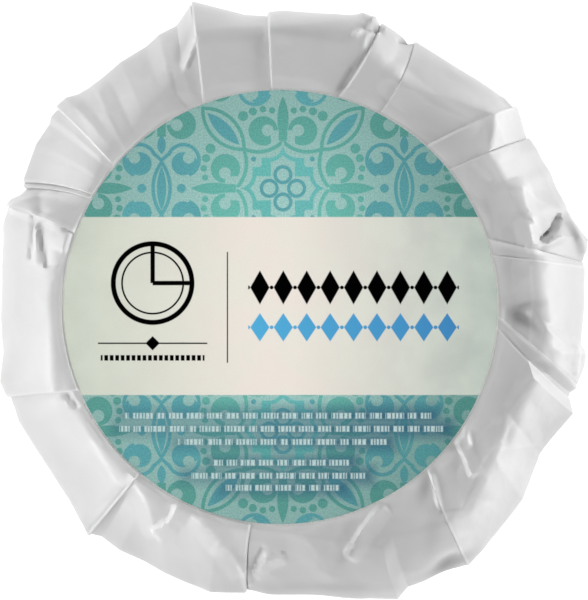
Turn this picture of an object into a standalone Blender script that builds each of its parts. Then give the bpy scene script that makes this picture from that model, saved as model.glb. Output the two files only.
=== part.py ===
"""A paper-wrapped camembert: the pleated wrapper as one closed body, and the round label on top.

Sizes are in millimetres and angles in degrees here, turned into metres when the meshes are made.
+Z is up, the pack lies on its flat underside, and the first folds are at the +Y side.
"""
import math

import bpy

MM = 0.001

# The pack
TOP_Z = 31.0
SHOULDER_Z = 30.5
RIM_Z = 22.0
FOOT_Z = 4.5
SHOULDER_RUN = 7.5
FOOT_RUN = 4.0
FOOT_REACH = 52.6
PAPER_STEP = 0.55
COLUMN_PITCH = 3.2

# The label
LABEL_RADIUS = 40.0
LABEL_THICK = 0.4
LABEL_GAP = 0.3
LABEL_CENTRE = (-2.49, -1.30)
LABEL_SIDES = 96

# Each paper pleat, clockwise: its name, the angle of its folded edge at the label (about the
# label), how high its folded edge and its far edge stand in paper steps, and the corners of its
# rim as angle and reach about the middle of the pack.
PLEATS = [
    ("fold_01", 110.8, 1.0, 0.0, [(109.0, 58.5), (99.8, 53.4), (96.2, 52.9)]),
    ("fold_02", 92.4, 1.0, 0.0, [(95.3, 53.4), (92.0, 53.5), (78.8, 53.6), (76.3, 54.6), (74.1, 54.8),
                                 (72.6, 53.8)]),
    ("fold_03", 74.6, 1.0, 0.0, [(72.5, 53.8), (67.8, 52.7), (65.6, 52.9)]),
    ("fold_04", 62.8, 1.0, 0.0, [(64.9, 52.8), (49.4, 53.0), (42.9, 53.9)]),
    ("fold_05", 47.9, 1.0, 0.0, [(41.1, 54.7), (35.1, 52.6)]),
    ("fold_06", 39.2, 1.0, 0.0, [(34.6, 52.7), (31.5, 52.6), (21.2, 52.9), (16.9, 52.9), (11.6, 55.4),
                                 (7.9, 54.1)]),
    ("fold_07", 18.4, 1.0, 0.3, [(7.5, 54.1), (7.1, 54.2)]),
    ("fold_08", 13.8, 1.2, 0.0, [(6.7, 54.1), (1.2, 53.8), (-8.6, 53.6), (-10.8, 54.9), (-13.6, 55.1),
                                 (-16.3, 54.9)]),
    ("fold_09", -2.2, 1.0, 0.3, [(-16.7, 54.9), (-17.4, 55.0), (-18.5, 54.2)]),
    ("fold_10", -5.4, 1.2, 1.6, [(-19.5, 54.0), (-22.1, 55.6), (-32.0, 53.6), (-41.0, 56.0),
                                 (-52.3, 57.9), (-56.8, 58.9)]),
    ("fold_11", -48.0, 0.4, 0.0, [(-57.0, 58.6), (-65.4, 57.4), (-68.3, 57.1), (-70.9, 58.6),
                                  (-84.6, 55.0), (-98.8, 54.7)]),
    ("fold_12", -97.8, 1.0, 0.0, [(-99.2, 54.8), (-106.0, 56.3), (-115.2, 55.7), (-124.9, 56.3),
                                  (-129.1, 56.2)]),
    ("fold_13", -130.2, 1.0, 0.0, [(-130.9, 57.9), (-137.9, 55.7), (-148.8, 54.9), (-159.8, 56.3)]),
    ("fold_14", -157.5, 1.0, 0.0, [(-161.2, 56.0), (-164.5, 56.4), (-169.8, 54.6), (-176.6, 54.3),
                                   (178.1, 54.0), (164.6, 55.8), (162.2, 56.2)]),
    ("fold_15", 160.3, 1.0, 0.0, [(161.9, 56.1), (160.3, 55.5), (159.1, 54.4), (157.8, 53.9)]),
    ("fold_16", 150.3, 1.0, 0.4, [(157.4, 54.1), (156.7, 54.4)]),
    ("fold_17", 149.1, 1.2, 0.0, [(156.4, 54.7), (154.0, 54.9), (148.7, 55.7), (144.3, 55.7),
                                  (143.0, 56.4), (141.7, 56.3)]),
    ("fold_18", 139.8, 1.0, 0.0, [(141.1, 56.7), (138.3, 56.3), (136.3, 55.0), (133.9, 54.3),
                                  (126.2, 54.4), (120.3, 54.2), (116.9, 55.0), (113.1, 55.2),
                                  (109.4, 58.0)]),
]


def on_circle(angle, reach, centre=(0.0, 0.0)):
    turn = math.radians(angle)
    return (centre[0] + reach * math.cos(turn), centre[1] + reach * math.sin(turn))


def mix(a, b, t):
    return a + (b - a) * t


def rim_points(corners):
    """Points along the straight rim edges of one pleat, with their share of its length."""
    places = [on_circle(angle, reach) for angle, reach in corners]
    points = [places[0]]
    for start, end in zip(places, places[1:]):
        length = math.hypot(end[0] - start[0], end[1] - start[1])
        parts = max(1, math.ceil(length / COLUMN_PITCH))
        for k in range(1, parts + 1):
            points.append((mix(start[0], end[0], k / parts), mix(start[1], end[1], k / parts)))
    runs = [0.0]
    for start, end in zip(points, points[1:]):
        runs.append(runs[-1] + math.hypot(end[0] - start[0], end[1] - start[1]))
    return [(point, run / runs[-1]) for point, run in zip(points, runs)]


def column(label_angle, rim, lift):
    """One line of the wrapper, from under the label over the shoulder to the underside."""
    reach = math.hypot(rim[0], rim[1])
    way = (rim[0] / reach, rim[1] / reach)
    line = []
    for radius in (20.0, 39.0):
        x, y = on_circle(label_angle, radius, LABEL_CENTRE)
        line.append((x, y, TOP_Z))
    edge = on_circle(label_angle, 40.3, LABEL_CENTRE)
    line.append((edge[0], edge[1], TOP_Z + 0.25 * lift))
    inner = reach - SHOULDER_RUN
    for t in (0.3, 0.65, 1.0):
        x = mix(edge[0], way[0] * inner, t)
        y = mix(edge[1], way[1] * inner, t)
        line.append((x, y, mix(TOP_Z, SHOULDER_Z, t) + lift))
    for step in (1, 2, 3, 4):
        turn = math.radians(90.0 * step / 4)
        swell = lift * (1.0 - step / 4) ** 0.7
        out = inner + SHOULDER_RUN * math.sin(turn) + swell * math.sin(turn)
        z = RIM_Z + (SHOULDER_Z - RIM_Z) * math.cos(turn) + swell * math.cos(turn)
        line.append((way[0] * out, way[1] * out, z))
    foot = mix(FOOT_REACH, reach, 0.15)
    for t in (0.33, 0.67, 1.0):
        out = mix(reach, foot, t ** 0.8)
        line.append((way[0] * out, way[1] * out, mix(RIM_Z, FOOT_Z, t)))
    for step in (1, 2, 3):
        turn = math.radians(90.0 * step / 3)
        out = foot - FOOT_RUN * (1.0 - math.cos(turn))
        line.append((way[0] * out, way[1] * out, FOOT_Z * (1.0 - math.sin(turn))))
    line.append((way[0] * 24.0, way[1] * 24.0, 0.0))
    return line


def wrapper_columns():
    """All lines of the wrapper, counter-clockwise seen from above."""
    lines = []
    angle = PLEATS[0][1]
    for k, (name, start, high, low, corners) in enumerate(PLEATS):
        while start > angle:
            start -= 360.0
        angle = start
        end = PLEATS[(k + 1) % len(PLEATS)][1]
        while end >= start:
            end -= 360.0
        start -= 0.15
        end += 0.15
        for rim, share in rim_points(corners):
            lift = PAPER_STEP * mix(high, low, share)
            lines.append(column(mix(start, end, share), rim, lift))
    lines.reverse()
    return lines


def surface(name, verts, faces, colour, rough):
    mesh = bpy.data.meshes.new(name)
    mesh.from_pydata([(x * MM, y * MM, z * MM) for x, y, z in verts], [], faces)
    mesh.update()
    body = bpy.data.objects.new(name, mesh)
    bpy.context.scene.collection.objects.link(body)
    paint = bpy.data.materials.new(name)
    paint.use_nodes = True
    shader = paint.node_tree.nodes["Principled BSDF"]
    shader.inputs["Base Color"].default_value = (colour[0], colour[1], colour[2], 1.0)
    shader.inputs["Roughness"].default_value = rough
    mesh.materials.append(paint)
    return body


for thing in list(bpy.data.objects):
    bpy.data.objects.remove(thing, do_unlink=True)

# The wrapper, moved so that the middle of its outline is the origin
lines = wrapper_columns()
xs = [place[0] for line in lines for place in line]
ys = [place[1] for line in lines for place in line]
mid = ((min(xs) + max(xs)) / 2, (min(ys) + max(ys)) / 2)
count = len(lines)
rows = len(lines[0])
verts = [(x - mid[0], y - mid[1], z) for line in lines for x, y, z in line]
verts.append((LABEL_CENTRE[0] - mid[0], LABEL_CENTRE[1] - mid[1], TOP_Z))
verts.append((-mid[0], -mid[1], 0.0))
top = len(verts) - 2
bottom = len(verts) - 1
faces = []
for k in range(count):
    here = k * rows
    after = ((k + 1) % count) * rows
    faces.append((top, here, after))
    for j in range(rows - 1):
        faces.append((here + j, here + j + 1, after + j + 1))
        faces.append((here + j, after + j + 1, after + j))
    faces.append((bottom, after + rows - 1, here + rows - 1))
surface("wrapper", verts, faces, (0.82, 0.83, 0.82), 0.35)

# The label, a thin round sheet of its own lying on the folded paper
low = TOP_Z + LABEL_GAP
high = low + LABEL_THICK
centre = (LABEL_CENTRE[0] - mid[0], LABEL_CENTRE[1] - mid[1])
verts = []
for z in (low, high):
    verts.append((centre[0], centre[1], z))
    for k in range(LABEL_SIDES):
        x, y = on_circle(360.0 * k / LABEL_SIDES, LABEL_RADIUS, centre)
        verts.append((x, y, z))
faces = []
step = LABEL_SIDES + 1
for k in range(LABEL_SIDES):
    a = 1 + k
    b = 1 + (k + 1) % LABEL_SIDES
    faces.append((0, b, a))
    faces.append((step, step + a, step + b))
    faces.append((a, b, step + b))
    faces.append((a, step + b, step + a))
surface("label", verts, faces, (0.45, 0.62, 0.58), 0.3)
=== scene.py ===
"""Looks of the paper-wrapped camembert: the knife-pleated paper, the round label and its print.

The shapes are worked out in millimetres about the middle of the pack, with +X to the right and
+Y away from a reader of the label, and are put into metres in the frame when a mesh is made.
"""
import math

import bpy
import numpy as np
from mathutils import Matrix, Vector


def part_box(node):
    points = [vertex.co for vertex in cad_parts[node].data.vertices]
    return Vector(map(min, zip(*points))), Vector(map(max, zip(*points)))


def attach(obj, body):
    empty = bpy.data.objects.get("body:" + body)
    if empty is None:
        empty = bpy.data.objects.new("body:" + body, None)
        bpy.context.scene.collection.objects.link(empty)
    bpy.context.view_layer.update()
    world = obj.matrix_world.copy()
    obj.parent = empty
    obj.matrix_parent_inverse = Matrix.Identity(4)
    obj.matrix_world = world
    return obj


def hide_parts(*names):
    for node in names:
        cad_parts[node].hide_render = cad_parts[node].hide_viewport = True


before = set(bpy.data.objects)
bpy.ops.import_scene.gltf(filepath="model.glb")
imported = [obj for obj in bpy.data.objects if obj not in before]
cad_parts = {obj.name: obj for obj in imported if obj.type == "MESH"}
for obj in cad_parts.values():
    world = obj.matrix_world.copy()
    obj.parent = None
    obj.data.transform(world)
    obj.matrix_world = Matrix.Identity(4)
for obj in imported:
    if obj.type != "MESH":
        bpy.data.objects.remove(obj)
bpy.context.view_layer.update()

MM = 0.001

# The label's place in the frame gives the shift from the pack's own middle to the frame
LABEL_LOW, LABEL_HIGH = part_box("label")
LABEL_CENTRE = np.array([-2.49, -1.30])
LABEL_RADIUS = 40.0
LABEL_MIDDLE = np.array([(LABEL_LOW.x + LABEL_HIGH.x) / 2, (LABEL_LOW.y + LABEL_HIGH.y) / 2])
SHIFT = LABEL_MIDDLE / MM - LABEL_CENTRE
# How thick the label's sheet is drawn, in millimetres
SHEET_THICK = 0.08

# The pack's heights under the label, at the rim and at the foot, and how far the paper falls from
# the label to the rim before it rounds over
TOP_Z = 31.26
TOP_FALL = 1.2
RIM_Z = 22.0
FOOT_Z = 4.5
# The foot's round, its reach, and the share by which it follows the rim in and out
FOOT_RUN = 4.0
FOOT_REACH = 52.6
FOOT_FOLLOW = 0.15
# One step of paper height, and how much of the next pleat's shoulder a pleat has at its far edge
PAPER_STEP = 0.6
END_SHARE = 0.85
# The relief grows from nothing to its full height over this run from the label
CALM_RUN = 1.4
# How far the paper stands out at the rim, and the runs over which a rim's ends are drawn in
RIM_GROWTH = 0.22
DIP_RUNS = (2.5, 4.0)
# The springy swell beside a fold, as a share of the fold's height, and its run
SWELL = 0.27
SWELL_RUN = 1.1
# How far a lower sheet runs on beneath a fold, and where the open sheet starts beside it
OVERLAP = 1.7
FOLD_EDGE = 0.35
# The most of the way from the label to the rim that a shoulder takes, and the most of a pleat's
# width that a fold takes
RUN_LIMIT = 0.92
OFFSET_LIMIT = 0.75
# The distance between the lines of an open sheet, and the points round a folded edge
LINE_PITCH = 0.38
EDGE_POINTS = 8

# Each paper pleat, clockwise: the angle of its folded edge at the label (about the label), how
# high its folded edge and its far edge stand in paper steps, how far its shoulder runs in from
# the rim and how round it is (1 is a straight slope, 2 a round), how far its folded edge bows
# sideways on the way, and its rim corners as angle and reach about the middle of the pack.
PLEATS = [
    (110.8, 1.2, 0.0, 8.0, 1.6, 0.0, [(109.0, 58.5), (99.8, 53.4), (96.2, 52.9)]),
    (92.4, 1.0, 0.0, 4.2, 1.8, 0.0, [(95.3, 53.4), (92.0, 53.5), (78.8, 53.6), (76.3, 54.6),
                                     (74.1, 54.8), (72.6, 53.8)]),
    (74.6, 1.2, 0.0, 7.0, 1.6, 0.6, [(72.5, 53.8), (67.8, 52.7), (65.6, 52.9)]),
    (62.8, 0.4, 0.0, 9.0, 1.4, 0.8, [(64.9, 52.8), (49.4, 53.0), (42.9, 53.9)]),
    (47.9, 0.9, 0.0, 4.5, 1.45, -0.4, [(41.1, 54.7), (35.1, 52.6)]),
    (39.2, 0.6, 0.0, 8.0, 1.15, -0.2, [(34.6, 52.7), (31.5, 52.6), (21.2, 52.9), (16.9, 52.9),
                                       (11.6, 55.4), (7.9, 54.1)]),
    (18.4, 0.35, 0.1, 9.5, 1.25, 0.0, [(7.5, 54.1), (7.1, 54.2)]),
    (13.8, 0.45, 0.0, 9.5, 1.35, 0.0, [(6.7, 54.1), (1.2, 53.8), (-8.6, 53.6), (-10.8, 54.9),
                                     (-13.6, 55.1), (-16.3, 54.9)]),
    (-2.2, 0.35, 0.1, 8.5, 1.4, 0.0, [(-16.7, 54.9), (-17.4, 55.0), (-18.5, 54.2)]),
    (-5.4, 0.45, 0.7, 9.8, 1.12, 0.5, [(-19.5, 54.0), (-22.1, 55.6), (-32.0, 53.6), (-41.0, 56.0),
                                     (-52.3, 57.9), (-56.8, 58.9)]),
    (-48.0, 0.4, 0.0, 9.5, 1.4, 0.4, [(-57.0, 58.6), (-65.4, 57.4), (-68.3, 57.1), (-70.9, 58.6),
                                      (-84.6, 55.0), (-98.8, 54.7)]),
    (-97.8, 1.0, 0.0, 13.5, 1.08, 0.3, [(-99.2, 54.8), (-106.0, 56.3), (-115.2, 55.7),
                                      (-124.9, 56.3), (-129.1, 56.2)]),
    (-130.2, 1.0, 0.0, 13.5, 1.18, 0.0, [(-130.9, 57.9), (-137.9, 55.7), (-148.8, 54.9),
                                         (-159.8, 56.3)]),
    (-157.5, 1.0, 0.0, 12.5, 1.2, 0.0, [(-161.2, 56.0), (-164.5, 56.4), (-169.8, 54.6),
                                         (-176.6, 54.3), (178.1, 54.0), (164.6, 55.8),
                                         (162.2, 56.2)]),
    (160.3, 1.0, 0.0, 10.0, 1.6, 0.4, [(161.9, 56.1), (160.3, 55.5), (159.1, 54.4),
                                       (157.8, 53.9)]),
    (150.3, 0.8, 0.35, 12.5, 1.35, 0.5, [(157.4, 54.1), (156.7, 54.4)]),
    (149.1, 1.0, 0.0, 13.0, 1.15, 0.5, [(156.4, 54.7), (154.0, 54.9), (148.7, 55.7), (144.3, 55.7),
                                      (143.0, 56.4), (141.7, 56.3)]),
    (139.8, 1.0, 0.0, 12.5, 1.3, 0.2, [(141.1, 56.7), (138.3, 56.3), (136.3, 55.0), (133.9, 54.3),
                                      (126.2, 54.4), (120.3, 54.2), (116.9, 55.0), (113.1, 55.2),
                                      (109.4, 58.0)]),
]
# How wide the line of a crease is in millimetres, how much painted highlight lightens a ridge
# line and how much painted shade dulls a valley line, and the height from which it is so in full
LINE_WIDTH = 0.5
RIDGE_PAINTED_HIGHLIGHT = 0.10
VALLEY_PAINTED_SHADE = 0.22
FULL_LINE = 0.5
# The lightest that painted light makes the paper, as a share of its plain tone
LIGHTEST = 1.1
# How many lines of a folded edge carry that painted highlight
EDGE_HIGHLIGHT_LINES = 4
# The one pleat that lies under both its neighbours
UNDER_BOTH = 10

# The photograph's scale: the size of one of its pixels, and the pixel over the pack's middle
PIXEL = 0.1843
MIDDLE_PIXEL = (294.1, 299.9)

# Creases in the paper, as the points of a line in pixels of the photograph, how high the line
# stands in millimetres (a valley is negative), and how far it slopes off to the left and to the
# right of a walker along it
CREASES = [
    ([(196, 42), (187, 67)], 0.45, 0.8, 1.4),
    ([(172, 75), (177, 95), (187, 108)], -0.28, 2.4, 3.2),
    ([(100, 95), (125, 150)], 0.55, 3.0, 5.0),
    ([(345, 88), (362, 60), (373, 38)], -0.35, 1.0, 1.0),
    ([(35, 217), (31, 258)], -0.38, 0.5, 0.6),
    ([(39, 223), (48, 266)], -0.60, 4.2, 0.6),
    ([(39, 226), (38, 262)], 0.35, 0.8, 1.4),
    ([(42, 214), (37, 194)], -0.40, 0.9, 1.6),
    ([(35, 216), (62, 228)], 0.35, 1.0, 1.2),
    ([(12, 208), (33, 197), (52, 192)], 0.40, 1.0, 0.9),
    ([(14, 210), (30, 216)], 0.50, 0.7, 1.0),
    ([(75, 236), (68, 252), (55, 282), (52, 302), (55, 330), (57, 388)], 0.50, 1.6, 4.8),
    ([(67, 398), (82, 422), (95, 440), (119, 482)], 0.30, 3.0, 5.0),
    ([(68, 394), (78, 405)], -0.60, 0.9, 0.9),
    ([(179, 503), (171, 518), (155, 528)], 0.90, 3.0, 0.7),
    ([(137, 482), (150, 505), (155, 525)], 0.55, 3.5, 3.0),
    ([(196, 504), (206, 522), (222, 538)], 0.60, 2.4, 3.4),
    ([(133, 480), (110, 504), (90, 528)], -0.50, 0.6, 2.2),
    ([(222, 541), (233, 552), (244, 569)], 0.40, 0.9, 3.2),
    ([(243, 560), (249, 584)], 0.40, 0.8, 1.2),
    ([(254, 572), (266, 560), (282, 553)], 0.65, 0.6, 2.2),
    ([(262, 548), (256, 560), (254, 572)], -0.45, 1.4, 0.8),
    ([(379, 505), (362, 528), (347, 552)], 0.85, 3.0, 0.8),
    ([(300, 530), (326, 568)], 0.15, 5.0, 3.0),
    ([(429, 466), (434, 487), (438, 506)], 0.50, 0.9, 0.5),
    ([(456, 440), (464, 455), (470, 473)], 0.70, 2.5, 0.7),
    ([(475, 478), (462, 507), (441, 511)], -0.30, 1.6, 2.2),
    ([(492, 446), (533, 444)], 0.25, 4.0, 2.0),
    ([(553, 352), (583, 352)], 0.25, 1.0, 1.5),
    ([(72, 236), (67, 250)], 0.70, 0.8, 2.6),
    ([(527, 220), (531, 243)], 0.60, 1.2, 3.0),
    ([(462, 423), (467, 442)], 0.55, 1.0, 2.5),
    ([(578, 347), (577, 372)], 0.40, 0.8, 1.2),
    ([(394, 76), (428, 104), (470, 124)], 0.45, 2.2, 4.5),
    ([(471, 165), (487, 180)], 0.35, 1.0, 1.4),
    ([(518, 190), (525, 215), (530, 243)], 1.00, 2.3, 6.0),
    ([(532, 152), (548, 182), (561, 211)], 0.20, 2.2, 2.4),
    ([(513, 187), (559, 213)], 0.30, 1.6, 2.4),
    ([(557, 217), (552, 229), (541, 239)], -2.00, 1.0, 0.5),
    ([(527, 248), (545, 245), (560, 237)], 0.50, 0.7, 1.2),
    ([(568, 216), (584, 250)], 0.50, 1.2, 1.0),
    ([(355, 36), (375, 18)], 0.55, 0.8, 0.8),
    ([(364, 29), (381, 30)], -0.50, 0.7, 0.7),
    ([(362, 14), (378, 21)], 0.40, 0.6, 0.8),
    ([(340, 90), (352, 70)], -0.30, 0.8, 0.8),
    ([(400, 41), (413, 38)], -0.60, 0.7, 0.7),
    ([(504, 98), (514, 105)], 0.30, 0.6, 0.6),
    ([(529, 266), (532, 300), (528, 345)], 0.60, 5.0, 3.5),
    ([(536, 374), (519, 408), (495, 442), (472, 476)], 0.55, 6.5, 3.0),
    ([(493, 120), (508, 150)], 0.35, 2.0, 3.0),
    ([(270, 31), (350, 20)], 0.18, 1.8, 3.0),
    ([(200, 33), (265, 25)], 0.18, 1.8, 3.0),
]
# Soft hollows and swellings in the paper, and level spots of painted shade or, below zero, painted
# light: the middle in pixels, the height in millimetres, how much painted shade dulls the middle
# (painted light where negative), the half-lengths along and across in millimetres, and the turn
# of the long way
DENTS = [
    ((518, 315), -1.10, 0.28, 3.0, 2.2, -15.0),
    ((530, 324), -0.80, 0.12, 2.8, 1.6, -45.0),
    ((528, 304), -0.60, 0.15, 2.0, 0.8, 8.0),
    ((539, 178), 0.35, 0.0, 6.0, 1.6, 25.0),
    ((549, 210), 0.40, 0.0, 6.0, 1.4, 15.0),
    ((450, 564), -1.30, 0.35, 4.2, 1.6, 30.0),
    ((185, 46), -0.40, 0.15, 3.6, 1.2, 80.0),
    ((365, 25), -0.60, 0.30, 2.0, 0.7, 30.0),
    ((378, 30), -0.60, 0.35, 1.2, 0.5, -60.0),
    ((409, 41), -0.40, 0.55, 1.2, 0.7, 15.0),
    ((511, 103), -0.40, 0.55, 0.9, 0.6, -30.0),
    ((365, 555), 0.0, 0.11, 15.0, 6.5, 20.0),
    ((425, 483), 0.0, 0.32, 3.0, 1.1, 78.0),
    ((431, 535), 0.0, 0.12, 5.5, 1.5, 80.0),
    ((347, 550), 0.0, 0.28, 2.6, 0.9, 57.0),
    ((278, 540), 0.0, 0.09, 6.0, 2.0, 0.0),
    ((492, 508), 0.0, -0.09, 9.0, 4.0, 52.0),
    ((467, 431), 0.0, -0.14, 1.8, 1.4, -60.0),
    ((558, 368), 0.0, -0.14, 4.5, 2.2, -60.0),
    ((555, 228), 0.0, 0.30, 2.2, 0.8, 52.0),
    ((577, 239), 0.0, 0.45, 3.4, 0.8, -70.0),
    ((527, 165), 0.0, -0.10, 5.0, 2.6, -60.0),
    ((392, 61), 0.0, -0.09, 3.5, 2.2, -60.0),
    ((452, 102), 0.0, -0.09, 8.0, 1.8, -28.0),
    ((462, 80), 0.0, 0.12, 9.0, 1.3, -29.0),
    ((508, 431), -0.2, 0.38, 2.6, 1.0, 80.0),
    ((453, 446), 0.0, 0.28, 1.6, 0.9, 0.0),
    ((530, 312), 0.0, 0.14, 2.4, 0.9, 85.0),
    ((524, 349), 0.0, 0.10, 6.0, 1.0, -45.0),
    ((367, 36), 0.0, 0.18, 2.6, 0.9, 70.0),
    ((190, 36), 0.0, 0.12, 3.2, 1.0, 80.0),
    ((119, 475), 0.0, 0.14, 4.5, 1.0, -45.0),
    ((110, 510), 0.0, 0.13, 5.5, 0.9, 48.0),
    ((145, 85), 0.0, 0.06, 5.0, 3.0, 60.0),
    ((400, 61), 0.0, -0.12, 2.4, 1.0, 90.0),
    ((489, 132), 0.0, 0.14, 2.8, 0.8, -80.0),
    ((541, 250), 0.0, 0.22, 2.2, 1.0, 80.0),
    ((493, 168), 0.0, -0.12, 3.5, 2.0, -60.0),
    ((466, 553), 0.0, -0.12, 2.5, 1.2, 60.0),
    ((466, 112), 0.0, -0.10, 5.0, 1.2, -28.0),
    ((565, 384), 0.0, -0.12, 3.0, 1.5, -60.0),
    ((335, 588), 0.0, 0.14, 12.0, 0.9, 0.0),
    ((55, 345), 0.0, -0.10, 8.0, 1.0, 90.0),
    ((509, 272), 0.0, 0.14, 7.0, 2.6, 90.0),
    ((487, 205), 0.0, 0.09, 5.0, 1.8, -65.0),
    ((57, 248), 0.0, -0.14, 2.6, 1.8, 80.0),
    ((508, 390), 0.0, 0.13, 9.0, 3.0, 68.0),
    ((434, 128), 0.0, 0.18, 8.0, 3.6, -36.0),
    ((325, 30), 0.0, 0.15, 9.5, 1.9, 4.0),
    ((80, 106), 0.0, -0.13, 6.0, 4.0, 45.0),
    ((185, 565), 0.0, -0.12, 14.0, 5.0, -26.0),
]


def on_circle(angle, reach):
    """The points at these angles in degrees and reaches: x is the cosine and y the sine."""
    turn = np.radians(angle)
    return np.stack([np.cos(turn) * reach, np.sin(turn) * reach], axis=-1)


def mix(a, b, t):
    """The value that lies the share t of the way from a to b."""
    return a + (b - a) * t


def ease(t):
    """0 below 0 and 1 above 1, with the smooth cubic between."""
    t = np.clip(t, 0.0, 1.0)
    return t * t * (3.0 - 2.0 * t)


class Pleat:
    """One pleat: its angles at the label, its lifts, its shoulder and its rim line. It ends where
    the next one begins, and its rim shares are running lengths over the whole length."""

    def __init__(self, k):
        start, high, low, run, roundness, bow, corners = PLEATS[k]
        after = PLEATS[(k + 1) % len(PLEATS)]
        end = after[0]
        while end > start:
            end -= 360.0
        self.angles = (start, end)
        self.lifts = (high * PAPER_STEP, low * PAPER_STEP)
        self.runs = (run, mix(run, after[3], END_SHARE))
        self.roundness = (roundness, mix(roundness, after[4], END_SHARE))
        self.bows = (bow, after[5])
        self.corners = on_circle(*np.array(corners).T)
        steps = np.hypot(*np.diff(self.corners, axis=0).T)
        self.rim_length = steps.sum()
        self.shares = np.concatenate([[0.0], np.cumsum(steps)]) / self.rim_length
        self.dips = [0.0, 0.0]

    def rim(self, share):
        """The rim points at these shares, by straight runs between corners, dipped at its ends."""
        x = np.interp(share, self.shares, self.corners[:, 0])
        y = np.interp(share, self.shares, self.corners[:, 1])
        reach = np.hypot(x, y)
        from_start = 1.0 - ease(share * self.rim_length / DIP_RUNS[0])
        from_end = 1.0 - ease((1.0 - share) * self.rim_length / DIP_RUNS[1])
        dip = self.dips[0] * from_start + self.dips[1] * from_end
        keep = 1.0 - (dip - RIM_GROWTH) / reach
        return np.stack([x * keep, y * keep], axis=-1)

    def lift(self, share):
        """The sheet's height over the paper below, with a springy swell beside its fold."""
        springy = SWELL * self.lifts[0] * (self.lifts[0] > self.lifts[1])
        swell = springy * np.exp(-share * self.rim_length / SWELL_RUN)
        return mix(self.lifts[0], self.lifts[1], share) + swell


# At each fold the rim of the lower sheet is drawn in, until it lies inside the upper sheet's rim
# by the height between the two
pleats = [Pleat(k) for k in range(len(PLEATS))]
for k, pleat in enumerate(pleats):
    before = pleats[k - 1]
    start_reach = np.hypot(*pleat.corners[0])
    end_reach = np.hypot(*before.corners[-1])
    if k == UNDER_BOTH:
        room = before.lifts[1] - pleat.lifts[0]
        pleat.dips[0] = max(0.0, start_reach - (end_reach - room))
    else:
        room = pleat.lifts[0] - before.lifts[1]
        before.dips[1] = max(0.0, end_reach - (start_reach - room))

# The rows that every line of the wrapper has, from under the label to the underside
UNDER_RADII = np.array([8.0, 25.0, 34.0, 37.5, 39.2])
TOP_SHARES = np.linspace(0.0, 1.0, 26)
SHOULDER_TURNS = np.linspace(0.0, 1.0, 32)[1:]
SIDE_SHARES = np.linspace(0.0, 1.0, 15)[1:]
FOOT_TURNS = np.linspace(0.0, 1.0, 6)[1:]
BASE_RADII = np.array([40.0, 20.0])
ROW_COUNTS = [len(a) for a in (UNDER_RADII, TOP_SHARES, SHOULDER_TURNS, SIDE_SHARES, FOOT_TURNS,
                               BASE_RADII)]
ROWS = sum(ROW_COUNTS)
# Edges that turn by more than this many degrees are drawn sharp
SHARP_ANGLE = 25.0
# How much of the lift and of the overlap each row keeps
ROW_KEEP = np.concatenate([
    np.interp(UNDER_RADII, [25.0, 39.2], [0.02, 0.05]),
    mix(0.06, 1.0, ease(TOP_SHARES / 0.25) ** 0.6),
    np.ones(ROW_COUNTS[2]),
    mix(1.0, 0.35, SIDE_SHARES),
    mix(0.35, 0.05, FOOT_TURNS),
    np.full(ROW_COUNTS[5], 0.03),
])
# How far each row has come from a pleat's width at the label to its width at the rim
WIDTH_SHARES = np.concatenate([
    np.zeros(ROW_COUNTS[0]),
    TOP_SHARES * 0.5,
    mix(0.5, 1.0, SHOULDER_TURNS),
    np.ones(sum(ROW_COUNTS[3:])),
])


def seen(pixel):
    """The place on the pack, in millimetres, of a pixel of the photograph."""
    return (pixel[0] - MIDDLE_PIXEL[0]) * PIXEL, (MIDDLE_PIXEL[1] - pixel[1]) * PIXEL


def one_crease(x, y, start, end, left, right):
    """A ridge of height 1 along a straight run, that slopes straight off to both sides, and how
    near each point is to its crest line."""
    length = math.hypot(end[0] - start[0], end[1] - start[1])
    way = ((end[0] - start[0]) / length, (end[1] - start[1]) / length)
    along = (x - start[0]) * way[0] + (y - start[1]) * way[1]
    across = (y - start[1]) * way[0] - (x - start[0]) * way[1]
    past = along - np.clip(along, 0.0, length)
    flank = np.where(across > 0.0, left, right)
    ridge = np.clip(1.0 - np.hypot(past / min(left, right), across / flank), 0.0, 1.0)
    return ridge, np.clip(1.0 - np.hypot(past, across) / LINE_WIDTH, 0.0, 1.0)


def crease_field(x, y):
    """Height of the creases and dents over the plan, and the paper's painted light and shade from
    them. Along each crease the highest of its straight runs counts, and each dent is a bell over a
    turned ellipse. A ridge line gets a little painted highlight, a valley line painted shade, and a
    dent a bell of painted shade of its own, or of painted light where its gloom is below zero."""
    height = np.zeros_like(x)
    shade = np.ones_like(x)
    for pixels, crest, left, right in CREASES:
        places = [seen(pixel) for pixel in pixels]
        runs = [one_crease(x, y, start, end, left, right)
                for start, end in zip(places, places[1:])]
        ridge, line = np.maximum.reduce(runs)
        height += crest * ridge
        strength = min(abs(crest) / FULL_LINE, 1.0)
        # Painted highlight along a ridge line, painted shade along a valley line
        shade *= 1.0 + line * strength * (RIDGE_PAINTED_HIGHLIGHT if crest > 0.0 else -VALLEY_PAINTED_SHADE)
    for pixel, crest, gloom, long_way, cross_way, angle in DENTS:
        x0, y0 = seen(pixel)
        turn = math.radians(angle)
        along = (x - x0) * math.cos(turn) + (y - y0) * math.sin(turn)
        across = (y - y0) * math.cos(turn) - (x - x0) * math.sin(turn)
        bell = np.exp(-(along / long_way) ** 2 - (across / cross_way) ** 2)
        height += crest * bell
        # A bell of painted shade for each dent, painted light where its gloom is below zero
        shade *= 1.0 - gloom * bell
    return height, np.minimum(shade, LIGHTEST)


def zigzag(t):
    """A triangular wave of period 1 between -1 and 1, straight between its sharp turns."""
    return 4.0 * np.abs(t - np.floor(t + 0.5)) - 1.0


# The waves of the paper's unevenness: length, slant and size of each in millimetres, and the
# reach at which their lengths hold
WAVES = [(15.1, 0.35, 0.10), (9.7, -0.55, 0.05), (6.9, 0.9, 0.025), (5.0, -1.4, 0.015)]
WAVE_REACH = 48.0
# The number of upright pleats round the side wall
SIDE_PLEATS = 46


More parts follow.
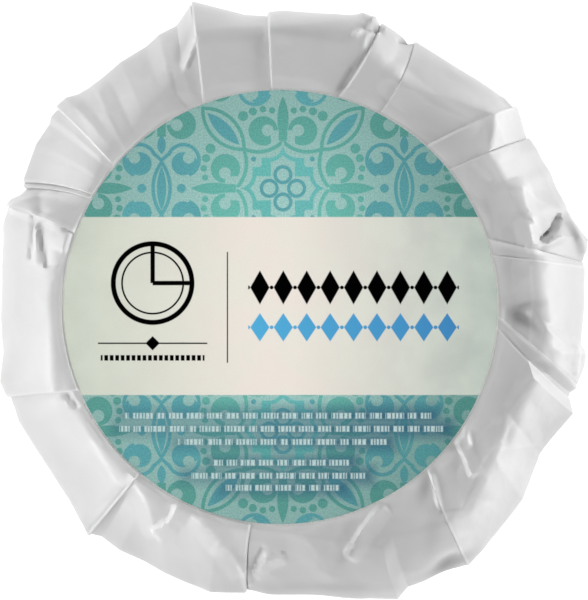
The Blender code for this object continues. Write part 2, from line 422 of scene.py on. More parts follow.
def crumple(x, y):
    """Unevenness of the paper: sharp-turned waves that run round the pack at uneven slants, so
    that the sheet breaks into flat facets, bent a little by slow sine waves."""
    bearing = np.arctan2(y, x)
    reach = np.hypot(x, y)
    turn = np.unwrap(bearing, axis=0)
    rng = np.random.default_rng(7)
    warp = 1.6 * np.sin(x * 0.23 + 1.0) * np.cos(y * 0.19) + 0.9 * np.sin(x * 0.41 - y * 0.37)
    height = 0.07 * np.sin(x * 0.33 + 0.7) * np.sin(y * 0.29 + 2.1)
    rough = 0.45 + 0.55 * ease(0.5 - 0.6 * np.sin(bearing - 0.45) + 0.2 * np.sin(3.0 * bearing))
    for length, slant, size in WAVES:
        whole = round(math.tau * WAVE_REACH / length)
        start = rng.uniform()
        phase = turn / math.tau * whole + slant * (reach - WAVE_REACH) / length
        height += size * zigzag(phase + warp / length + start)
    return height * rough


def side_pleats(angle, depth):
    """Upright pleats of the side wall: tents at uneven angles, strongest below the rim and gone
    at the foot. depth is 0 at the rim and 1 at the foot."""
    rng = np.random.default_rng(19)
    height = np.zeros_like(angle)
    for k in range(SIDE_PLEATS):
        middle = 360.0 * (k + rng.uniform(-0.35, 0.35)) / SIDE_PLEATS
        lean = rng.uniform(-5.0, 5.0)
        flank = rng.uniform(1.0, 3.2)
        crest = rng.uniform(0.35, 0.95) * rng.choice([-0.7, 1.0])
        reach = rng.uniform(0.5, 1.1)
        away = np.abs((angle - middle - lean * depth + 180.0) % 360.0 - 180.0)
        tent = np.clip(1.0 - away / flank, 0.0, 1.0)
        height += crest * tent * np.clip(1.0 - depth / reach, 0.0, 1.0)
    return height


def pleat_points(pleat, share, lift):
    """Points of lines of one pleat, each with the paper's painted light and shade there as a fourth
    number. share and lift are arrays of lines by rows.

    Under the label a line runs straight out from the label's middle. From the label's edge it
    runs straight in plan to its rim point, while its height follows a superellipse over the
    shoulder. The side falls from the rim to the foot with a little batter, the foot is a
    quarter round and the base is flat. The lift and the relief push each point out along the
    normal of that profile."""
    points = np.zeros(share.shape + (4,))
    points[..., 3] = 1.0
    normals = np.zeros(share.shape + (2,))
    under, top, shoulder, side, foot, base = np.split(np.arange(ROWS), np.cumsum(ROW_COUNTS)[:-1])
    angle = mix(pleat.angles[0], pleat.angles[1], share)
    out = on_circle(angle, 1.0)
    rim = pleat.rim(share)
    reach = np.hypot(rim[..., 0], rim[..., 1])
    way = rim / reach[..., None]
    reach = reach - pleat.lift(share)
    run = mix(pleat.runs[0], pleat.runs[1], share)
    power = mix(pleat.roundness[0], pleat.roundness[1], share)
    bow = mix(pleat.bows[0], pleat.bows[1], share)

    points[:, under, :2] = LABEL_CENTRE + out[:, under] * UNDER_RADII[:, None]
    points[:, under, 2] = TOP_Z
    normals[:, under, 1] = 1.0

    arch = np.concatenate([top, shoulder])
    edge = LABEL_CENTRE + out[:, arch] * LABEL_RADIUS
    end = way[:, arch] * reach[:, arch, None]
    edge_reach = np.hypot(edge[..., 0], edge[..., 1])
    gap = reach[:, arch] - edge_reach
    run = np.minimum(run[:, arch], gap * RUN_LIMIT)
    power = power[:, arch]
    left = np.concatenate([1.0 - TOP_SHARES, np.zeros(len(shoulder))])
    turned = np.concatenate([np.zeros(len(top)), SHOULDER_TURNS])
    still = 1.0 - np.sin(np.pi / 2 * turned)
    t = 1.0 - (left * (gap - run) + still * run) / gap
    line = end - edge
    square = np.stack([line[..., 1], -line[..., 0]], axis=-1)
    square /= np.linalg.norm(square, axis=-1, keepdims=True)
    sway = bow[:, arch] * 4.0 * t * (1.0 - t)
    plan = edge + line * t[..., None] + square * sway[..., None]
    inward = np.clip(reach[:, arch] - np.hypot(plan[..., 0], plan[..., 1]), 0.0, run) / run
    flat = 1.0 - inward
    height = np.clip(1.0 - flat ** power, 0.0, 1.0) ** (1.0 / power)
    crown = TOP_Z - TOP_FALL * np.clip(t, 0.0, 1.0)
    points[:, arch, :2] = plan
    points[:, arch, 2] = RIM_Z + (crown - RIM_Z) * height
    slope = flat ** (power - 1.0) / run
    rise = height ** (power - 1.0) / (crown - RIM_Z)
    size = np.hypot(slope, rise) + 1e-9
    normals[:, arch, 0] = slope / size
    normals[:, arch, 1] = rise / size

    heel = mix(FOOT_REACH, reach, FOOT_FOLLOW)
    drawn = mix(reach[:, side], heel[:, side], SIDE_SHARES ** 0.8)
    points[:, side, :2] = way[:, side] * drawn[..., None]
    points[:, side, 2] = mix(RIM_Z, FOOT_Z, SIDE_SHARES)
    normals[:, side, 0] = 1.0

    roll = np.pi / 2 * FOOT_TURNS
    drawn = heel[:, foot] - FOOT_RUN * (1.0 - np.cos(roll))
    points[:, foot, :2] = way[:, foot] * drawn[..., None]
    points[:, foot, 2] = FOOT_Z * (1.0 - np.sin(roll))
    normals[:, foot, 0] = np.cos(roll)

    points[:, base, :2] = way[:, base] * BASE_RADII[:, None]
    points[:, base, 2] = 0.0

    relief = np.zeros(share.shape)
    x = points[:, arch, 0]
    y = points[:, arch, 1]
    away = np.hypot(x - LABEL_CENTRE[0], y - LABEL_CENTRE[1]) - LABEL_RADIUS
    calm = ease(away / CALM_RUN)
    # The fourth number takes the painted light and shade of the creases and dents
    creases, points[:, arch, 3] = crease_field(x, y)
    relief[:, arch] = (creases + crumple(x, y)) * calm
    rim_relief = relief[:, arch[-1]]
    depth = np.broadcast_to(SIDE_SHARES, share[:, side].shape)
    bearing = np.degrees(np.arctan2(way[:, side, 1], way[:, side, 0]))
    fade = 1.0 - SIDE_SHARES
    swell = side_pleats(bearing, depth) * np.sin(np.pi * depth) ** 1.2
    relief[:, side] = rim_relief[:, None] * fade ** 2 + swell
    push = lift * ROW_KEEP + relief
    points[..., :2] += way * (normals[..., 0] * push)[..., None]
    points[..., 2] += normals[..., 1] * push
    return points


def offset_share(pleat, offset):
    """The share across a pleat that lies this far from its folded edge, row by row. A pleat's
    width grows from its stretch of the label's edge to its stretch of the rim."""
    at_label = math.radians(pleat.angles[0] - pleat.angles[1]) * LABEL_RADIUS
    widths = mix(at_label, pleat.rim_length, WIDTH_SHARES)
    offset = np.asarray(offset, float)[:, None]
    return np.minimum(offset * ROW_KEEP / widths, OFFSET_LIMIT)


def fold_profile(low, high):
    """Offsets and lifts across a fold: the lower sheet runs on beneath, turns back unseen, and
    comes out to the folded edge, which is a half round up to the top sheet."""
    middle = mix(low, high, 0.3)
    radius = (high - middle) / 2
    turn = np.linspace(0.0, np.pi, EDGE_POINTS)
    offsets = np.concatenate([
        [0.0, OVERLAP / 2, OVERLAP, OVERLAP + 0.1, OVERLAP, OVERLAP / 2],
        radius * (1.0 - np.sin(turn)),
    ])
    lifts = np.concatenate([
        [low, low, low, mix(low, middle, 0.5), middle, middle],
        middle + radius * (1.0 - np.cos(turn)),
    ])
    return offsets, lifts


def fold_lines(k):
    """The lines of the fold where pleat k begins, with a painted highlight on the folded edge."""
    pleat = pleats[k]
    before = pleats[k - 1]
    if k == UNDER_BOTH:
        offsets, lifts = fold_profile(pleat.lifts[0], before.lifts[1])
        share = 1.0 - offset_share(before, offsets[::-1])
        points = pleat_points(before, share, np.repeat(lifts[::-1, None], ROWS, 1))
        # Painted highlight on the folded edge
        points[:EDGE_HIGHLIGHT_LINES, :, 3] = LIGHTEST
        return points
    offsets, lifts = fold_profile(before.lifts[1], pleat.lifts[0])
    share = offset_share(pleat, offsets)
    points = pleat_points(pleat, share, np.repeat(lifts[:, None], ROWS, 1))
    # Painted highlight on the folded edge
    points[-EDGE_HIGHLIGHT_LINES:, :, 3] = LIGHTEST
    return points


def open_lines(k):
    """The lines of the open sheet of pleat k, from its fold to where it slips under the next."""
    pleat = pleats[k]
    count = max(3, round(pleat.rim_length / LINE_PITCH))
    edge = FOLD_EDGE / max(pleat.rim_length, 2.0)
    first = 0.0 if k == UNDER_BOTH else edge
    last = 1.0 - edge if k == UNDER_BOTH - 1 else 1.0
    share = np.repeat(np.linspace(first, last, count)[:, None], ROWS, 1)
    points = pleat_points(pleat, share, pleat.lift(share))
    # Painted highlight on the line beside each folded edge
    if k != UNDER_BOTH:
        points[0, :, 3] = LIGHTEST
    if k == UNDER_BOTH - 1:
        points[-1, :, 3] = LIGHTEST
    return points


def closed_grid(lines, top_pole, base_pole):
    """Vertices and faces of lines of rows joined round into one closed surface, with a fan to a
    point at each end. The lines run counter-clockwise and their rows run downwards."""
    count, rows = lines.shape[:2]
    verts = np.concatenate([lines[..., :3].reshape(-1, 3), [top_pole, base_pole]])
    here = np.arange(count) * rows
    after = np.roll(here, -1)
    row = np.arange(rows - 1)
    a = here[:, None] + row
    b = after[:, None] + row
    quads = np.stack([a, a + 1, b + 1, b], axis=-1).reshape(-1, 4)
    top = np.stack([np.full(count, count * rows), here, after], axis=-1)
    base = np.stack([np.full(count, count * rows + 1), after + rows - 1, here + rows - 1], axis=-1)
    return verts, quads, np.concatenate([top, base])


def make_piece(name, node, verts, quads, tris, material):
    """A mesh piece in metres that stands for one CAD node, smooth but for its sharp folds."""
    mesh = bpy.data.meshes.new(name)
    placed = verts.copy()
    placed[:, :2] += SHIFT
    placed *= MM
    loops = np.concatenate([quads.ravel(), tris.ravel()]).astype(np.int32)
    sizes = np.concatenate([np.full(len(quads), 4), np.full(len(tris), 3)]).astype(np.int32)
    mesh.vertices.add(len(placed))
    mesh.vertices.foreach_set("co", placed.ravel())
    mesh.loops.add(len(loops))
    mesh.loops.foreach_set("vertex_index", loops)
    mesh.polygons.add(len(sizes))
    mesh.polygons.foreach_set("loop_start", np.concatenate([[0], np.cumsum(sizes)[:-1]]))
    mesh.polygons.foreach_set("loop_total", sizes)
    mesh.polygons.foreach_set("use_smooth", np.ones(len(sizes), bool))
    mesh.update(calc_edges=True)
    mesh.validate()
    mesh.set_sharp_from_angle(angle=math.radians(SHARP_ANGLE))
    piece = bpy.data.objects.new(name, mesh)
    bpy.context.scene.collection.objects.link(piece)
    mesh.materials.append(material)
    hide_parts(node)
    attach(piece, "root")
    return piece


def new_material(name):
    """A new material, its node tree and its main shader."""
    material = bpy.data.materials.new(name)
    material.use_nodes = True
    tree = material.node_tree
    return material, tree, tree.nodes["Principled BSDF"]


class Field:
    """A number that varies over a surface, held as the output of a node of one tree. Sums,
    differences, products and the minus sign each add a Math node that works them out."""

    tree = None

    def __init__(self, socket):
        self.socket = socket

    def __add__(self, other):
        return math_node("ADD", self, other)

    def __sub__(self, other):
        return math_node("SUBTRACT", self, other)

    def __mul__(self, other):
        return math_node("MULTIPLY", self, other)

    def __neg__(self):
        return math_node("MULTIPLY", self, -1.0)

    def clamped(self):
        """The same field, held between 0 and 1."""
        self.socket.node.use_clamp = True
        return self


def math_node(kind, *values):
    """The field of one Math node of this kind, fed with fields or plain numbers."""
    node = Field.tree.nodes.new("ShaderNodeMath")
    node.operation = kind
    for entry, value in zip(node.inputs, values):
        if isinstance(value, Field):
            Field.tree.links.new(value.socket, entry)
        else:
            entry.default_value = value
    return Field(node.outputs[0])


def away_from(value):
    """The value without its sign."""
    return math_node("ABSOLUTE", value)


def union(*fields):
    """The nearest of several shapes, each a distance that is negative inside."""
    joined = fields[0]
    for field in fields[1:]:
        joined = math_node("MINIMUM", joined, field)
    return joined


def overlap(*fields):
    """What several shapes have in common."""
    joined = fields[0]
    for field in fields[1:]:
        joined = math_node("MAXIMUM", joined, field)
    return joined


def point(x, y):
    """The two fields as one place in the plane."""
    node = Field.tree.nodes.new("ShaderNodeCombineXYZ")
    Field.tree.links.new(x.socket, node.inputs["X"])
    Field.tree.links.new(y.socket, node.inputs["Y"])
    return node.outputs["Vector"]


def distance(place, centre):
    """How far each place is from a centre."""
    node = Field.tree.nodes.new("ShaderNodeVectorMath")
    node.operation = "DISTANCE"
    Field.tree.links.new(place, node.inputs[0])
    node.inputs[1].default_value = (centre[0], centre[1], 0.0)
    return Field(node.outputs["Value"])


def disc(place, centre, radius):
    """A round: the distance from its centre less its radius."""
    return distance(place, centre) - radius


def ring(place, centre, radius, half_width):
    """A round line: the distance from a circle less half the line's width."""
    return away_from(distance(place, centre) - radius) - half_width


def block(x, y, low, high):
    """An upright rectangle from its low corner to its high one."""
    across = away_from(x - (low[0] + high[0]) / 2) - (high[0] - low[0]) / 2
    along = away_from(y - (low[1] + high[1]) / 2) - (high[1] - low[1]) / 2
    return overlap(across, along)


def inked(field, soft=0.13):
    """1 inside a shape and 0 outside, with a soft edge this many millimetres wide."""
    return math_node("MULTIPLY_ADD", field, -1.0 / soft, 0.5).clamped()


def linear(red, green, blue):
    """A screen colour from 0 to 255 as a linear one for a shader."""
    values = []
    for part in (red, green, blue):
        part /= 255.0
        values.append(part / 12.92 if part <= 0.04045 else ((part + 0.055) / 1.055) ** 2.4)
    return (*values, 1.0)


def mixed(share, first, second):
    """A colour that runs from the first to the second with the share. Each is a tuple or the
    output of a node."""
    node = Field.tree.nodes.new("ShaderNodeMix")
    node.data_type = "RGBA"
    Field.tree.links.new(share.socket, node.inputs["Factor"])
    for entry, colour in ((node.inputs[6], first), (node.inputs[7], second)):
        if isinstance(colour, tuple):
            entry.default_value = colour
        else:
            Field.tree.links.new(colour, entry)
    return node.outputs[2]


def multiplied(first, second):
    """The product of two colours, each the output of a node."""
    node = Field.tree.nodes.new("ShaderNodeMix")
    node.data_type = "RGBA"
    node.blend_type = "MULTIPLY"
    node.inputs["Factor"].default_value = 1.0
    Field.tree.links.new(first, node.inputs[6])
    Field.tree.links.new(second, node.inputs[7])
    return node.outputs[2]


def noise(place, scale, detail=2.0):
    """Cloudy noise about 0.5, with this many clouds to a unit of length and finer detail."""
    node = Field.tree.nodes.new("ShaderNodeTexNoise")
    node.inputs["Scale"].default_value = scale
    node.inputs["Detail"].default_value = detail
    Field.tree.links.new(place, node.inputs["Vector"])
    return Field(node.outputs["Fac"])


def stretch(value, low, high, to_low=0.0, to_high=1.0):
    """The value moved from the range low to high onto another range, and held to it."""
    node = Field.tree.nodes.new("ShaderNodeMapRange")
    for name, number in zip(("From Min", "From Max", "To Min", "To Max"),
                            (low, high, to_low, to_high)):
        node.inputs[name].default_value = number
    Field.tree.links.new(value.socket, node.inputs["Value"])
    return Field(node.outputs["Result"])


def bumped(height, strength, depth, under=None):
    """The normal of a surface with this field as its bump, over an earlier bump if there is one."""
    node = Field.tree.nodes.new("ShaderNodeBump")
    node.inputs["Strength"].default_value = strength
    node.inputs["Distance"].default_value = depth
    Field.tree.links.new(height.socket, node.inputs["Height"])
    if under is not None:
        Field.tree.links.new(under, node.inputs["Normal"])
    return node.outputs["Normal"]


# The heights in metres between which the paper goes from its painted side shade to its full
# tone, and that painted shade as a share of the full tone
SIDE_SHADE_HEIGHTS = (0.0205, 0.0305)
SIDE_PAINTED_SHADE = 0.79


def paper_material():
    """White laminated paper: faint cloudiness in colour and gloss, painted shade down the side, the
    mesh's painted light and shade in creases and soft spots, and fine wrinkles and facets as bump."""
    material, tree, shader = new_material("laminated_paper")
    Field.tree = tree
    place = tree.nodes.new("ShaderNodeTexCoord").outputs["Object"]
    parts = tree.nodes.new("ShaderNodeSeparateXYZ")
    tree.links.new(place, parts.inputs["Vector"])
    cloud = noise(place, 90.0, 4.0)
    tint = mixed(stretch(cloud, 0.3, 0.7), (0.855, 0.86, 0.855, 1.0), (0.905, 0.91, 0.905, 1.0))
    # Painted shade: the paper dulls from the shoulder down the side
    rise = stretch(Field(parts.outputs["Z"]), *SIDE_SHADE_HEIGHTS)
    side = mixed(rise, (SIDE_PAINTED_SHADE, SIDE_PAINTED_SHADE, SIDE_PAINTED_SHADE, 1.0), (1.0, 1.0, 1.0, 1.0))
    # The mesh's painted light and shade from its creases, dents and folded edges
    painted_light_node = tree.nodes.new("ShaderNodeAttribute")
    painted_light_node.attribute_name = "shade"
    paper = multiplied(multiplied(tint, side), painted_light_node.outputs["Fac"])
    tree.links.new(paper, shader.inputs["Base Color"])
    tree.links.new(stretch(cloud, 0.0, 1.0, 0.42, 0.52).socket, shader.inputs["Roughness"])
    wrinkles = bumped(noise(place, 260.0, 5.0), 0.25, 0.0002)
    facets = tree.nodes.new("ShaderNodeTexVoronoi")
    facets.inputs["Scale"].default_value = 120.0
    facets.inputs["Detail"].default_value = 1.5
    tree.links.new(place, facets.inputs["Vector"])
    surface = bumped(Field(facets.outputs["Distance"]), 0.5, 0.0004, wrinkles)
    tree.links.new(surface, shader.inputs["Normal"])
    shader.inputs["Coat Weight"].default_value = 0.7
    shader.inputs["Coat Roughness"].default_value = 0.28
    return material


def wrapper_piece():
    """The whole pleated paper as one closed surface, its painted light and shade a mesh attribute.
    """
    lines = []
    for k in range(len(pleats)):
        lines.append(fold_lines(k))
        lines.append(open_lines(k))
    lines = np.concatenate(lines)[::-1]
    verts, quads, tris = closed_grid(lines, (*LABEL_CENTRE, TOP_Z), (0.0, 0.0, 0.0))
    piece = make_piece("pleated_paper", "wrapper", verts, quads, tris,
                       paper_material())
    # Each vertex's painted light and shade, kept as a mesh attribute
    shades = np.concatenate([lines[..., 3].ravel(), [1.0, 1.0]])
    piece.data.attributes.new("shade", "FLOAT", "POINT").data.foreach_set("value", shades)


# The tile pattern of the label: its repeat, and the middle of one tile about the label's middle
TILE = 44.45
TILE_MIDDLE = (0.46, 21.75)


def comma_scroll(x, y, place):
    """A scroll beside an axis of the pattern: a fat comma round an open eye, and the thin arm
    that swings out from the axis beside it."""
    body = disc(place, (10.53, 3.62), 2.69)
    eye = disc(place, (10.62, 2.78), 1.08)
    mouth = overlap(x - 10.6, y - 2.2)
    comma = overlap(body, -eye, -mouth)
    arm = overlap(ring(place, (13.05, 4.58), 6.37, 0.34), block(x, y, (4.0, 0.2), (9.6, 6.9)))
    stem = block(x, y, (8.7, -1.0), (12.8, 0.78))
    return union(comma, arm, stem)


def ornament(x, y):
    """The green, blue and light green inks of the tile pattern, as distances in millimetres.

    The plane is folded on the pattern's mirror lines into one eighth of a tile, where u is the
    larger and v the smaller distance from the tile's middle lines."""
    x = math_node("PINGPONG", x - TILE_MIDDLE[0], TILE / 2)
    y = math_node("PINGPONG", y - TILE_MIDDLE[1], TILE / 2)
    u = math_node("MAXIMUM", x, y)
    v = math_node("MINIMUM", x, y)
    here = point(u, v)
    side = -(u - TILE / 2)
    rise = -(v - TILE / 2)
    edge = point(side, v)
    corner = point(rise, side)

    dots = union(
        disc(here, (14.26, 1.98), 0.57), disc(here, (14.50, 3.66), 0.60),
        disc(here, (14.08, 5.51), 0.74), disc(here, (13.25, 7.29), 0.92))
    leaf = disc(point(u, away_from(v)), (12.65, -8.20), 9.23)
    almond = ring(here, (7.40, 14.39), 7.27, 0.33)
    green = union(comma_scroll(u, v, here), comma_scroll(rise, side, corner), leaf, almond, dots)

    eye = disc(edge, (4.98, 5.60), 1.06)
    comma = overlap(union(disc(edge, (3.95, 4.50), 2.12), disc(edge, (5.20, 4.25), 1.68)), -eye)
    arm = overlap(ring(edge, (3.99, 5.13), 2.87, 0.33), -(side + v - 7.4))
    slope = away_from(math_node("MULTIPLY_ADD", side, -0.675, (v - 5.1) * 0.738)) - 0.33
    link = overlap(slope, block(side, v, (-1.0, 4.8), (1.9, 7.2)))
    frame_almond = overlap(ring(edge, (-6.54, 0.0), 8.09, 0.33), v - 5.6)
    bud = disc(edge, (-1.58, 7.96), 2.35)
    blue = union(comma, arm, link, frame_almond, bud, disc(here, (18.6, 0.0), 0.82),
                 disc(here, (5.4, 5.35), 0.44), ring(here, (2.50, 0.0), 1.44, 0.31),
                 disc(edge, (-9.23, 0.0), 10.09), disc(here, (6.27, 15.52), 7.73))

    cross = union(
        block(u, v, (2.2, 2.24), (5.57, 3.92)), block(u, v, (2.2, 2.2), (4.14, 4.14)),
        overlap(ring(here, (8.24, 2.65), 3.04, 0.36), block(u, v, (4.4, -1.0), (7.7, 2.4))))
    return green, blue, cross


# The pale band across the label, and the places of its plain devices
BAND = (-16.1, 16.5)
RULE_X = -9.7
ROUND_MIDDLE = (-23.4, 4.4)
ROUND_RADIUS = 7.2
ROW_MIDDLE = 13.4
ROW_HALF = 19.3
ROW_BEADS = 9
# The rows of dashes: height, half-length and middle of each, half the height of a dash, and how
# many groups and dashes come to a millimetre
SMALL_ROWS = [(-19.9, 28.0, -0.4), (-22.3, 29.8, 0.3), (-24.7, 19.1, 0.4), (-28.5, 12.5, 0.3),
              (-30.9, 16.2, -0.7), (-33.1, 10.6, 0.6)]
DASH_HALF = 0.52
GROUPS_PER_MM = 0.30
DASHES_PER_MM = 1.5
# How wide the label's pale rim is, in millimetres: its white cut edge, drawn on the top face
# and painted lighter as a highlight where that edge catches the light
PALE_RIM = 0.26


def cell_edges(x, scale):
    """The distance along a line to the nearest edge of its uneven cells."""
    node = Field.tree.nodes.new("ShaderNodeTexVoronoi")
    node.voronoi_dimensions = "1D"
    node.feature = "DISTANCE_TO_EDGE"
    node.inputs["Scale"].default_value = scale
    Field.tree.links.new(x.socket, node.inputs["W"])
    return Field(node.outputs["Distance"])


def bead_row(x, y, height, tall, wide):
    """A row of upright lozenges with a small dot between each two."""
    pitch = 2 * ROW_HALF / ROW_BEADS
    fold = math_node("PINGPONG", x - ROW_MIDDLE, pitch / 2)
    rise = away_from(y - height)
    lozenge = (fold * (1.0 / wide) + rise * (1.0 / tall) - 1.0) * (wide * 0.7)
    dot = disc(point(fold, rise), (pitch / 2, 0.0), 0.34)
    inside = away_from(x - ROW_MIDDLE) - ROW_HALF
    return overlap(union(lozenge, dot), inside)


def label_material():
    """Satin pearly print: a green and blue tile pattern with a fine speckle, and a pale
    iridescent band with plain devices in black and blue."""
    material, tree, shader = new_material("label_print")
    Field.tree = tree
    coords = tree.nodes.new("ShaderNodeTexCoord")
    centred = tree.nodes.new("ShaderNodeMapping")
    centred.inputs["Location"].default_value = (-LABEL_MIDDLE[0] / MM, -LABEL_MIDDLE[1] / MM, 0.0)
    centred.inputs["Scale"].default_value = (1.0 / MM, 1.0 / MM, 1.0 / MM)
    tree.links.new(coords.outputs["Object"], centred.inputs["Vector"])
    parts = tree.nodes.new("ShaderNodeSeparateXYZ")
    tree.links.new(centred.outputs["Vector"], parts.inputs["Vector"])
    x = Field(parts.outputs["X"])
    y = Field(parts.outputs["Y"])
    place = point(x, y)

    green, blue, cross = ornament(x, y)
    drift = stretch(noise(place, 0.045, 1.0), 0.35, 0.65)
    inner = stretch(distance(place, (0.0, 4.0)), 34.0, 8.0)
    ground = mixed(inner, linear(150, 190, 183), linear(172, 216, 209))
    green_ink = mixed(inner, linear(92, 163, 152), linear(118, 203, 189))
    blue_ink = mixed(drift, linear(88, 160, 168), linear(96, 174, 178))
    cross_ink = mixed(drift, linear(106, 192, 182), linear(110, 190, 190))
    tiles = mixed(inked(cross), ground, cross_ink)
    tiles = mixed(inked(green), tiles, green_ink)
    tiles = mixed(inked(blue), tiles, blue_ink)
    deep = linear(40, 100, 98)
    # Painted shade: the tiles darken towards the right, where the label's sheen fades
    tiles = mixed(stretch(x, 8.0, 34.0, 0.0, 0.32), tiles, deep)
    lower_right = stretch(y, -15.0, -22.0, 0.0, 0.17) * stretch(x, -22.0, 18.0)
    tiles = mixed(lower_right, tiles, deep)

    glow = None
    dashes = None
    for height, half, middle in SMALL_ROWS:
        run = away_from(x - middle) - half
        rise = away_from(y - height)
        near = overlap(run, rise)
        near_ink = stretch(near, 2.8, 0.0)
        glow = near_ink if glow is None else math_node("MAXIMUM", glow, near_ink)
        gap = -(cell_edges(x + height * 7.0, GROUPS_PER_MM) * 3.3 - 0.35)
        notch = -(cell_edges(x + height * 5.0, DASHES_PER_MM) * 0.67 - 0.11)
        dash = overlap(run, rise - DASH_HALF, gap, notch)
        dashes = dash if dashes is None else union(dashes, dash)
    tiles = mixed(glow * stretch(x, -22.0, 16.0, 0.5, 0.95), tiles, linear(46, 100, 124))
    tiles = mixed(inked(dashes, 0.2) * 0.8, tiles, linear(215, 235, 232))

    cloud = stretch(noise(place, 0.11, 3.0), 0.38, 0.62)
    # Pearl tints of the film's own, lightened to the middle and darker at the right as painted
    # sheen
    sweep = stretch(x, -38.0, -6.0)
    painted_sheen_fall = stretch(x, 2.0, 38.0)
    pearl = mixed(sweep, linear(203, 211, 197), linear(234, 225, 216))
    pearl = mixed(painted_sheen_fall, pearl, linear(180, 192, 184))
    pearl = mixed(cloud * 0.35, pearl, linear(222, 228, 214))
    rounds = ring(place, ROUND_MIDDLE, ROUND_RADIUS, 0.45)
    slice_edge = union(
        block(x - ROUND_MIDDLE[0], y - ROUND_MIDDLE[1], (-0.4, 0.0), (0.4, ROUND_RADIUS)),
        block(x - ROUND_MIDDLE[0], y - ROUND_MIDDLE[1], (0.0, -0.4), (ROUND_RADIUS, 0.4)))
    rind = ring(place, ROUND_MIDDLE, ROUND_RADIUS - 1.6, 0.16)
    underline = block(x, y, (-33.4, -6.75), (-13.4, -6.5))
    gem = (away_from(x - ROUND_MIDDLE[0]) + away_from(y + 6.62) - 1.3) * 0.7
    small = overlap(away_from(math_node("PINGPONG", x + 32.4, 1.0) - 0.5) - 0.34,
                    block(x, y, (-32.9, -9.8), (-13.9, -8.8)))
    black = union(rounds, slice_edge, rind, underline, gem, small,
                  bead_row(x, y, 3.6, 3.1, 1.75),
                  block(x, y, (RULE_X - 0.1, -10.2), (RULE_X + 0.1, 10.1)))
    azure = bead_row(x, y, -3.7, 2.6, 1.75)
    azure_ink = mixed(stretch(x, ROW_MIDDLE - ROW_HALF, ROW_MIDDLE + ROW_HALF),
                      linear(75, 170, 215), linear(52, 130, 186))
    band = mixed(inked(azure), pearl, azure_ink)
    band = mixed(inked(black), band, linear(4, 4, 5))
    in_band = inked(block(x, y, (-60.0, BAND[0]), (60.0, BAND[1])), 0.2)
    colour = mixed(in_band, tiles, band)
    # Painted highlight: the pale rim stands for light caught by the label's white cut edge
    rim = inked(-disc(place, (0.0, 0.0), LABEL_RADIUS - PALE_RIM), 0.12)
    colour = mixed(rim, colour, linear(252, 252, 248))

    speckle = noise(place, 3.8, 1.0)
    grainy = mixed(in_band, (0.66, 0.73, 0.75, 1.0), (0.97, 0.97, 0.97, 1.0))
    grain = mixed(stretch(speckle, 0.3, 0.7), grainy, (1.0, 1.0, 1.0, 1.0))
    tree.links.new(multiplied(colour, grain), shader.inputs["Base Color"])
    shader.inputs["Roughness"].default_value = 0.3
    unprinted = (-(inked(black) * in_band) + 1.0) * (-rim + 1.0)
    tree.links.new((unprinted * 0.45).socket, shader.inputs["Metallic"])
    tree.links.new((unprinted * 0.3).socket, shader.inputs["Specular IOR Level"])
    return material


# The label's sheet: the turns and radii of its rings, and how far its edge is rounded down
LABEL_TURNS = 480
LABEL_RINGS = np.concatenate([[5.0], np.linspace(13.0, 39.2, 8), [39.6, 39.9, LABEL_RADIUS]])
EDGE_DROP = 0.02


def label_piece():
    """The label: a thin round sheet on rings about its middle, with a rounded edge."""
    turns = np.linspace(0.0, 360.0, LABEL_TURNS, endpoint=False)
    reach, angle = np.meshgrid(LABEL_RINGS, turns)
    plan = LABEL_CENTRE + on_circle(angle, reach)
    low = LABEL_LOW.z / MM
    high = low + SHEET_THICK
    drop = np.interp(reach, LABEL_RINGS[-2:], [0.0, EDGE_DROP])
    upper = np.concatenate([plan, (high - drop)[..., None]], axis=-1)
    lower = upper[:, ::-1].copy()
    lower[..., 2] = low
    lines = np.concatenate([upper, lower], axis=1)
    verts, quads, tris = closed_grid(lines, (*LABEL_CENTRE, high), (*LABEL_CENTRE, low))
    make_piece("round_label", "label", verts, quads, tris, label_material())


# The lights: place and size in metres, and power in watts. Each faces the middle of the pack.
LIT_PLACE = (0.0, 0.0, 0.03)
LIGHTS = {
    "left_light": ((-0.45, 0.11, 0.16), (0.72, 0.13), 0.99),
    "right_light": ((0.88, 0.04, 0.15), (1.5, 0.2), 5.8),
    "low_light": ((-0.28, -0.27, 0.18), (0.15, 0.10), 0.44),
    "top_light": ((0.0, 0.0, 1.5), (0.40, 0.40), 1.6),
}
SKY_STRENGTH = 0.25
# The floor: half its width, how far below the pack it lies, its own tone and its glow
FLOOR_HALF = 3.0
FLOOR_GAP = 0.0001
FLOOR_TONE = 0.3
FLOOR_GLOW = 0.95


def area_light(name, place, size, power):
    """A soft white rectangular light that faces the middle of the pack."""
    data = bpy.data.lights.new(name, "AREA")
    data.shape = "RECTANGLE"
    data.size, data.size_y = size
    data.energy = power
    light = bpy.data.objects.new(name, data)
    bpy.context.scene.collection.objects.link(light)
    light.location = place
    way = [t - p for t, p in zip(LIT_PLACE, place)]
    across = math.hypot(way[0], way[1])
    turn = math.atan2(way[1], way[0]) - math.pi / 2
    light.rotation_euler = (math.atan2(across, -way[2]), 0.0, turn)


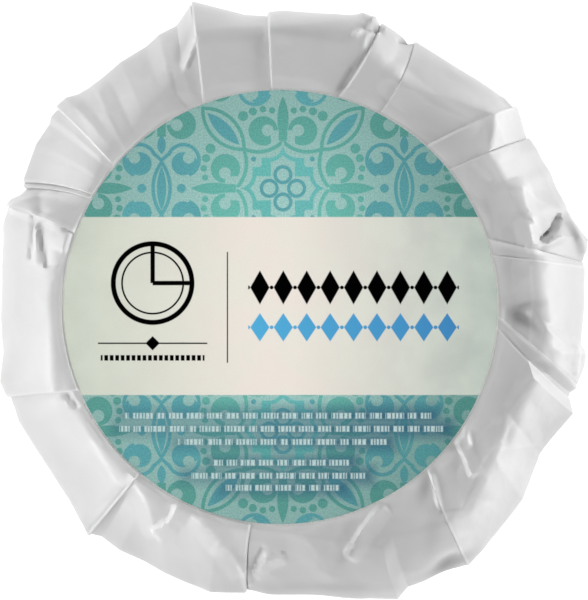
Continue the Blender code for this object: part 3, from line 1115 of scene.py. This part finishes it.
def studio():
    """A white floor and a pale sky, broad low lights from the left and the right, a small low one
    from the front left and a soft one from above."""
    world = bpy.data.worlds.new("sky")
    bpy.context.scene.world = world
    world.use_nodes = True
    sky = world.node_tree.nodes["Background"]
    sky.inputs["Color"].default_value = (1.0, 1.0, 1.0, 1.0)
    sky.inputs["Strength"].default_value = SKY_STRENGTH
    mesh = bpy.data.meshes.new("floor")
    half = FLOOR_HALF
    corners = [(-half, -half, 0.0), (half, -half, 0.0), (half, half, 0.0), (-half, half, 0.0)]
    mesh.from_pydata(corners, [], [(0, 1, 2, 3)])
    floor = bpy.data.objects.new("floor", mesh)
    floor.location.z = -FLOOR_GAP
    bpy.context.scene.collection.objects.link(floor)
    material, _, shader = new_material("white_floor")
    shader.inputs["Base Color"].default_value = (FLOOR_TONE, FLOOR_TONE, FLOOR_TONE, 1.0)
    shader.inputs["Roughness"].default_value = 0.9
    shader.inputs["Emission Color"].default_value = (1.0, 1.0, 1.0, 1.0)
    shader.inputs["Emission Strength"].default_value = FLOOR_GLOW
    mesh.materials.append(material)
    for name, (place, size, power) in LIGHTS.items():
        area_light(name, place, size, power)


# The widths of the photograph and of the label in it, in pixels, how far above the label the
# camera stands in metres, and the width of its sensor in millimetres
PHOTO_WIDTH = 588.0
LABEL_WIDTH_IN_PHOTO = 437.0
CAMERA_RISE = 0.736
SENSOR = 36.0


def camera():
    """A camera straight above the pack's middle, that sees the photograph's width at the label."""
    data = bpy.data.cameras.new("camera")
    data.sensor_fit = "HORIZONTAL"
    data.sensor_width = SENSOR
    width = PHOTO_WIDTH * 2 * LABEL_RADIUS * MM / LABEL_WIDTH_IN_PHOTO
    data.lens = SENSOR * CAMERA_RISE / width
    data.clip_start = 0.01
    data.clip_end = 20.0
    eye = bpy.data.objects.new("camera", data)
    bpy.context.scene.collection.objects.link(eye)
    eye.location = (SHIFT[0] * MM, SHIFT[1] * MM, LABEL_HIGH.z + CAMERA_RISE)
    bpy.context.scene.camera = eye


wrapper_piece()
label_piece()
studio()
camera()
bpy.context.scene.view_settings.view_transform = "Standard"
